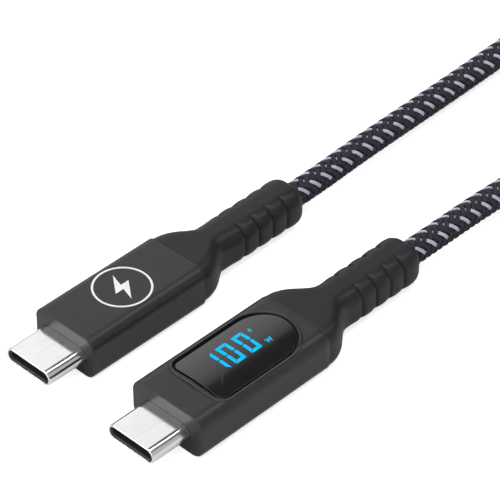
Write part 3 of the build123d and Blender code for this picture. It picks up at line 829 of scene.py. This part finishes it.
def smooth_table(rows, place):
    """Values at that place from a table of rows, on a smooth cubic through the rows."""
    rows = np.array(rows)
    index = int(np.clip(np.searchsorted(rows[:, 0], place, side="right") - 1, 0, len(rows) - 2))
    slopes = np.gradient(rows[:, 1:], rows[:, 0], axis=0)
    span = rows[index + 1, 0] - rows[index, 0]
    t = (place - rows[index, 0]) / span
    low, high = rows[index, 1:], rows[index + 1, 1:]
    a, b = slopes[index] * span, slopes[index + 1] * span
    from_low = (2 * t**3 - 3 * t**2 + 1) * low + (t**3 - 2 * t**2 + t) * a
    return from_low + (3 * t**2 - 2 * t**3) * high + (t**3 - t**2) * b


def rib_relief(distance, start):
    """How far the side stands out at that distance: lobes between slots, in mm."""
    slot = 0.0
    for rib in range(RIB_COUNT):
        away = (distance - start - rib * RIB_PITCH) / SLOT_HALF_WIDTH
        slot = max(slot, math.exp(-abs(away) ** 2.2))
    first, last = start - RIB_PITCH, start + RIB_COUNT * RIB_PITCH
    lobe = 0.0
    if first < distance < last:
        share = (distance - first) / RIB_PITCH % 1.0
        lobe = math.sin(math.pi * share) ** 0.7
        if distance < start:
            lobe *= share
    return LOBE_HEIGHT * lobe - SLOT_DEPTH * slot


def make_strain_relief(plug):
    whole = plug["relief_length"]
    half_body = plug["width"] / 2

    def section_at(distance, inset):
        share, half_height, corner = smooth_table(RELIEF_SHAPE, distance)
        half_width = max(half_body * share, RELIEF_HALF_WIDTH)
        corner = max(corner - inset * 0.4, 0.5)
        section = rounded_rectangle(2 * (half_width - inset), 2 * (half_height - inset), corner, 14, 10)
        stand = rib_relief(distance, plug["ribs_start"])
        points = []
        for u, v in section:
            weight = eased((abs(u) - 0.9) / 1.5)
            length = math.hypot(u, v)
            points.append((u + u / length * stand * weight, v + v / length * stand * weight * 0.75))
        return points

    rings = [
        across(plug, plug["length"] - 0.4, section_at(0.0, 0.35)),
        across(plug, plug["length"], section_at(0.0, 0.06)),
        across(plug, plug["length"] + 0.04, section_at(0.04, 0.0)),
    ]
    for distance in [*np.arange(0.33, 8.0, 0.33), *np.arange(8.0, whole - RELIEF_END_ROUNDING, 0.09)]:
        rings.append(across(plug, plug["length"] + distance, section_at(distance, 0.0)))
    for step in range(1, 11):
        angle = math.pi / 2 * step / 10
        distance = whole - RELIEF_END_ROUNDING * (1 - math.sin(angle))
        section = section_at(distance, RELIEF_END_ROUNDING * (1 - math.cos(angle)))
        rings.append(across(plug, plug["length"] + distance, section))
    final = section_at(whole, RELIEF_END_ROUNDING)
    for distance, radius in ((whole, CORD_RADIUS - 0.02), (whole - 1.2, CORD_RADIUS - 0.1)):
        circle = [(radius * u / math.hypot(u, v), radius * v / math.hypot(u, v)) for u, v in final]
        rings.append(across(plug, plug["length"] + distance, circle))
    shell = Shell().add(rings, cap_start=True, cap_end=True)
    piece = shell.finish(f"{plug['name']}_relief", RUBBER, sharp=60)
    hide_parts(f"{plug['name']}_strain_relief")
    return piece


# --- Display ------------------------------------------------------------------

# Window, measured from the housing's front face and the plug's middle line
WINDOW_FRONT = 4.95
WINDOW_REAR = 21.4
WINDOW_HALF_WIDTH = 4.6
WINDOW_Y = -0.27
WINDOW_CORNER = 1.3
WINDOW_STAND = 0.34
WINDOW_CROWN = 0.026
WINDOW_EDGE = 0.07
GAP_WIDTH = 0.36
RIM_STAND = 0.30

# Pocket in the housing that hides under the window and its rim
POCKET_MARGIN = 0.12
POCKET_DEPTH = 0.9
POCKET_START = 4.0
POCKET_RUN_OUT = 1.4
POCKET_STEP = 0.2


def window_outline(grow, ahead=0.0):
    """Plan of the window, grown by that much: a straight front with small corners and a round rear."""
    front = WINDOW_FRONT - grow - ahead
    half = WINDOW_HALF_WIDTH + grow
    corner = max(WINDOW_CORNER + grow, 0.0)
    rear = WINDOW_REAR - WINDOW_HALF_WIDTH
    points = []
    for step in range(65):
        angle = math.radians(-90 + 180 * step / 64)
        points.append((rear + half * math.cos(angle), half * math.sin(angle)))
    for step in range(1, 24):
        points.append((rear + (front + corner - rear) * step / 24, half))
    for step in range(11):
        angle = math.radians(90 + 9 * step)
        points.append((front + corner + corner * math.cos(angle), half - corner + corner * math.sin(angle)))
    for step in range(1, 20):
        points.append((front, (half - corner) * (1 - step / 10)))
    for step in range(11):
        angle = math.radians(180 + 9 * step)
        points.append((front + corner + corner * math.cos(angle), -half + corner + corner * math.sin(angle)))
    for step in range(1, 24):
        points.append((front + corner + (rear - front - corner) * step / 24, -half))
    return [(x, y + WINDOW_Y) for x, y in points]


def window_top(y):
    """Height of the window's crowned top."""
    return BODY_HEIGHT + WINDOW_STAND - WINDOW_CROWN * y**2


def housing_top(y):
    """Height of the meter housing's top, which rolls off at its sides."""
    beyond = max(abs(y) - METER_WIDTH / 2 + METER_CORNER, 0)
    return BODY_HEIGHT - METER_CORNER + math.sqrt(max(METER_CORNER**2 - beyond**2, 0))


def plan_ring(grow, height, ahead=0.0):
    return [(METER["face"] + x, y, height(y)) for x, y in window_outline(grow, ahead)]


def rim_top(y):
    """Height of the rim's top, which rolls off at its sides with the housing."""
    return housing_top(y) + RIM_STAND - 0.035 * abs(y)


def rim_rings():
    """Raised rim round the window: up from the gap, over its top and down into the housing's skin."""
    inner = GAP_WIDTH
    return [
        plan_ring(inner, lambda y: rim_top(y) - 1.1),
        plan_ring(inner, lambda y: rim_top(y) - 0.05),
        plan_ring(inner + 0.02, lambda y: rim_top(y) - 0.015),
        plan_ring(inner + 0.06, rim_top),
        plan_ring(inner + 0.36, rim_top),
        plan_ring(inner + 0.42, lambda y: rim_top(y) - 0.02),
        plan_ring(inner + 0.47, lambda y: rim_top(y) - 0.07),
        plan_ring(inner + 0.49, lambda y: rim_top(y) - 0.14, 0.01),
        plan_ring(inner + 0.50, lambda y: housing_top(y) - 0.06, 0.02),
        plan_ring(inner + 0.50, lambda y: housing_top(y) - 0.40, 0.02),
        plan_ring(inner + 0.40, lambda y: rim_top(y) - 1.1),
    ]


def follow_crown(mesh):
    """Gives the window's top the crown's own normals, so that its reflections run smoothly."""
    normals = []
    for vertex in mesh.vertices:
        x, y, z = vertex.co / MM
        on_top = abs(z - window_top(y)) < 0.001
        normals.append(Vector((0, 2 * WINDOW_CROWN * y, 1)).normalized() if on_top else vertex.normal.copy())
    mesh.normals_split_custom_set_from_vertices(normals)


def make_display():
    lens = Shell()
    rings = [plan_ring(0.0, lambda y: window_top(y) - 0.7)]
    for step in range(7):
        angle = math.pi / 2 * step / 6
        inset = WINDOW_EDGE * (1 - math.cos(angle))
        drop = WINDOW_EDGE * (1 - math.sin(angle))
        rings.append(plan_ring(-inset, lambda y, drop=drop: window_top(y) - drop))
    for inset in (0.4, 0.8, 1.2, 1.6, 2.0, 2.4, 2.8, 3.2, 3.6, 4.0, 4.3):
        rings.append(plan_ring(-inset, window_top))
    lens.add(rings, cap_start=True, cap_end=True)
    piece = lens.finish("window_lens", LENS, sharp=50)
    follow_crown(piece.data)
    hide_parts("display_window")

    # Black gasket in the gap round the lens. It also climbs the rim's inner wall almost to the rim's top, a
    # dark sheet that paints the shade in the gap.
    rings = [
        plan_ring(-0.02, lambda y: window_top(y) - 0.75),
        plan_ring(-0.02, lambda y: window_top(y) - 0.36),
        plan_ring(GAP_WIDTH - 0.03, lambda y: window_top(y) - 0.36),
        plan_ring(GAP_WIDTH - 0.03, lambda y: rim_top(y) - 0.06),
        plan_ring(GAP_WIDTH + 0.01, lambda y: rim_top(y) - 0.05),
        plan_ring(GAP_WIDTH + 0.01, lambda y: window_top(y) - 0.75),
    ]
    piece = Shell().add(rings, joined=True).finish("seal_and_painted_gap_shade", GASKET_AND_GAP_SHADE)
    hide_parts("window_gasket")

    rim = Shell().add(rim_rings(), joined=True).finish("window_rim", RIM, sharp=40)


# Digits, from the housing's front face, as in the CAD model
ONE_FRONT = 8.12
ZERO_FRONTS = (10.87, 13.78)
DIGIT_WIDTH = 1.88
DIGIT_HEIGHT = 4.0
DIGIT_CENTRE_Y = 0.3
STROKE = 0.5
STROKE_GAP = 0.05
STROKE_POINT = 0.16
BOLT_SIGN = (16.7, 1.7)
WATT_SIGN = (17.13, -1.45)


def lit_bottom(y):
    return window_top(y) - 0.12


def lit_top(y):
    return window_top(y) + 0.035


def placed(outline, x, y):
    """An outline moved to its place on the window, counter-clockwise from above."""
    points = [(METER["face"] + x + px, y + py) for px, py in outline]
    area = sum(ax * by - bx * ay for (ax, ay), (bx, by) in zip(points, points[1:] + points[:1]))
    return points if area > 0 else points[::-1]


def upright_bar(side, half):
    """Half a digit's side: mitred where it meets the end bar and pointed in the middle of its height."""
    edge = side * STROKE / 2
    end = half * DIGIT_HEIGHT / 2
    shoulder = half * (STROKE_GAP + STROKE_POINT)
    mitre = end - half * (STROKE + STROKE_GAP)
    tip = end - half * STROKE_GAP
    return [(edge, tip), (-edge, mitre), (-edge, shoulder), (0, half * STROKE_GAP), (edge, shoulder)]


def end_bar(half):
    """A zero's end, mitred at both of its own ends."""
    outer = half * DIGIT_HEIGHT / 2
    inner = outer - half * STROKE
    reach = DIGIT_WIDTH / 2 - STROKE_GAP
    return [(-reach, outer), (reach, outer), (reach - STROKE, inner), (-reach + STROKE, inner)]


def make_digits():
    shell = Shell()
    for half in (1, -1):
        for front in (ONE_FRONT, *ZERO_FRONTS):
            bar = placed(upright_bar(1, half), front + DIGIT_WIDTH - STROKE / 2, DIGIT_CENTRE_Y)
            shell.prism(bar, lit_bottom, lit_top)
        for front in ZERO_FRONTS:
            bar = placed(upright_bar(-1, half), front + STROKE / 2, DIGIT_CENTRE_Y)
            shell.prism(bar, lit_bottom, lit_top)
            shell.prism(placed(end_bar(half), front + DIGIT_WIDTH / 2, DIGIT_CENTRE_Y), lit_bottom, lit_top)
    piece = shell.finish("lit_digits", LIT, sharp=30)
    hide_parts("display_digits")


def bolt_outline(x, y, size):
    shape = ((0.15, 0.5), (-0.3, -0.08), (-0.03, -0.08), (-0.15, -0.5), (0.3, 0.08), (0.03, 0.08))
    return [(x + size * px, y + size * py) for px, py in shape]


def watt_outline(x, y):
    half, rise, thick = 0.5, 0.42, 0.2
    outer = [(-half, rise), (-half / 2, -rise), (0, rise * 0.45), (half / 2, -rise), (half, rise)]
    inner = [(half - thick, rise), (half / 2, -rise + 2 * thick), (0, rise), (-half / 2, -rise + 2 * thick)]
    inner.append((-half + thick, rise))
    return [(x + px, y + py) for px, py in outer + inner]


def make_signs():
    for name, node, outline in (
        ("lit_bolt", "charging_sign", placed(bolt_outline(0, 0, 1.0), *BOLT_SIGN)),
        ("lit_watt", "watt_sign", placed(watt_outline(0, 0), *WATT_SIGN)),
    ):
        piece = Shell().prism(outline, lit_bottom, lit_top).finish(name, LIT, sharp=30)
        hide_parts(node)


# --- Badge --------------------------------------------------------------------

BADGE_X = 10.55
BADGE_RADIUS = 4.13
BADGE_LINE = 0.3


def make_badge():
    x, y = PLAIN["face"] + BADGE_X, PLAIN["y"]
    low, high = BODY_HEIGHT - 0.03, BODY_HEIGHT + 0.02
    inner_radius = BADGE_RADIUS - BADGE_LINE
    sides = ((BADGE_RADIUS, low), (BADGE_RADIUS, high), (inner_radius, high), (inner_radius, low))
    rings = []
    for radius, height in sides:
        turns = np.linspace(0, 2 * math.pi, 97)[:-1]
        rings.append([(x + radius * math.cos(turn), y + radius * math.sin(turn), height) for turn in turns])
    shell = Shell().add(rings, joined=True)
    shell.prism(bolt_outline(x, y, 5.2), lambda _: low, lambda _: high)
    piece = shell.finish("printed_badge", INK, sharp=30)
    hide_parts("plain_badge")
    return piece


# --- Stage and light ----------------------------------------------------------

FLOOR_GLOW = 0.75
FLOOR_BOUNCE = 0.75
WORLD_STRENGTH = 0.5
DARK_AZIMUTH = 84.0
DARK_ELEVATION = 40.0


def make_floor():
    """White table. Seen directly it is paper white; as a source of bounced light it is a light grey."""
    nodes = Nodes("floor").set(Roughness=0.9, Specular_IOR_Level=0.1)
    cloud = nodes.noise(nodes.stretched((1, 1, 1)), 6, 2)
    for name in ("Base Color", "Emission Color"):
        nodes.join(nodes.blended(cloud, (0.93, 0.93, 0.93), (0.95, 0.95, 0.95)), nodes.shader.inputs[name])
    nodes.set(Emission_Strength=FLOOR_GLOW)
    bounce = nodes.tree.nodes.new("ShaderNodeBsdfDiffuse")
    bounce.inputs["Color"].default_value = (FLOOR_BOUNCE, FLOOR_BOUNCE, FLOOR_BOUNCE, 1)
    path = nodes.tree.nodes.new("ShaderNodeLightPath")
    mix = nodes.tree.nodes.new("ShaderNodeMixShader")
    nodes.join(path.outputs["Is Camera Ray"], mix.inputs[0])
    nodes.join(bounce.outputs["BSDF"], mix.inputs[1])
    nodes.join(nodes.shader.outputs["BSDF"], mix.inputs[2])
    nodes.join(mix.outputs["Shader"], nodes.tree.nodes["Material Output"].inputs["Surface"])
    mesh = bpy.data.meshes.new("floor")
    half = 1.5
    corners = [(-half, -half, 0), (half, -half, 0), (half, half, 0), (-half, half, 0)]
    mesh.from_pydata(corners, [], [(0, 1, 2, 3)])
    mesh.materials.append(nodes.material)
    floor = bpy.data.objects.new("floor", mesh)
    floor.location = (0, 0, -0.00002)
    bpy.context.scene.collection.objects.link(floor)


def bearing(azimuth, elevation):
    """Direction at that azimuth (0 is -Y, 90 is +X) and elevation, in degrees."""
    a, e = math.radians(azimuth), math.radians(elevation)
    return Vector((math.sin(a) * math.cos(e), -math.cos(a) * math.cos(e), math.sin(e)))


def make_light(name, azimuth, elevation, distance, width, height, power, target=(0, 10, 3)):
    """A soft box that faces the target."""
    back = bearing(azimuth, elevation)
    data = bpy.data.lights.new(name, "AREA")
    data.shape = "RECTANGLE"
    data.size = width * MM
    data.size_y = height * MM
    data.energy = power
    light = bpy.data.objects.new(name, data)
    light.location = (Vector(target) + back * distance) * MM
    light.rotation_euler = back.to_track_quat("Z", "Y").to_euler()
    bpy.context.scene.collection.objects.link(light)


def make_world():
    """Even studio ambience with one dark area to the right, which blackens what reflects it."""
    world = bpy.data.worlds.new("studio")
    world.use_nodes = True
    tree = world.node_tree
    coordinates = tree.nodes.new("ShaderNodeTexCoord")
    towards = tree.nodes.new("ShaderNodeVectorMath")
    towards.operation = "DOT_PRODUCT"
    towards.inputs[1].default_value = bearing(DARK_AZIMUTH, DARK_ELEVATION)
    fade = tree.nodes.new("ShaderNodeMapRange")
    fade.interpolation_type = "SMOOTHSTEP"
    fade.inputs["From Min"].default_value = 0.76
    fade.inputs["From Max"].default_value = 0.90
    fade.inputs["To Min"].default_value = WORLD_STRENGTH
    fade.inputs["To Max"].default_value = 0.03
    background = tree.nodes["Background"]
    background.inputs["Color"].default_value = (1, 1, 1, 1)
    tree.links.new(coordinates.outputs["Generated"], towards.inputs[0])
    tree.links.new(towards.outputs["Value"], fade.inputs["Value"])
    tree.links.new(fade.outputs["Result"], background.inputs["Strength"])
    bpy.context.scene.world = world


def make_lights():
    make_world()
    make_light("back", 151, 32, 700, 500, 540, 0.46)
    make_light("top", -50, 84, 700, 500, 500, 1.8)
    make_light("left", -128, 33, 700, 260, 300, 1.2)
    make_light("strip", 70, 54, 700, 90, 500, 0.7)
    make_light("front", -75, 24, 600, 600, 350, 0.6)
    bpy.context.scene.view_settings.view_transform = "Standard"


make_camera()
cord, route, braid_pieces = make_cord()
ties = [make_tie("tie_near", 60), make_tie("tie_far", -60)]
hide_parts("cord_tie_near")
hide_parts("cord_tie_far")

for plug in (METER, PLAIN):
    shell, carrier = make_plug_shell(plug), make_carrier(plug)
    body = make_housing(plug, Shell())
    relief = make_strain_relief(plug)
make_display()
make_digits()
make_signs()
make_badge()
paint_carried_nodes()

make_floor()
make_lights()
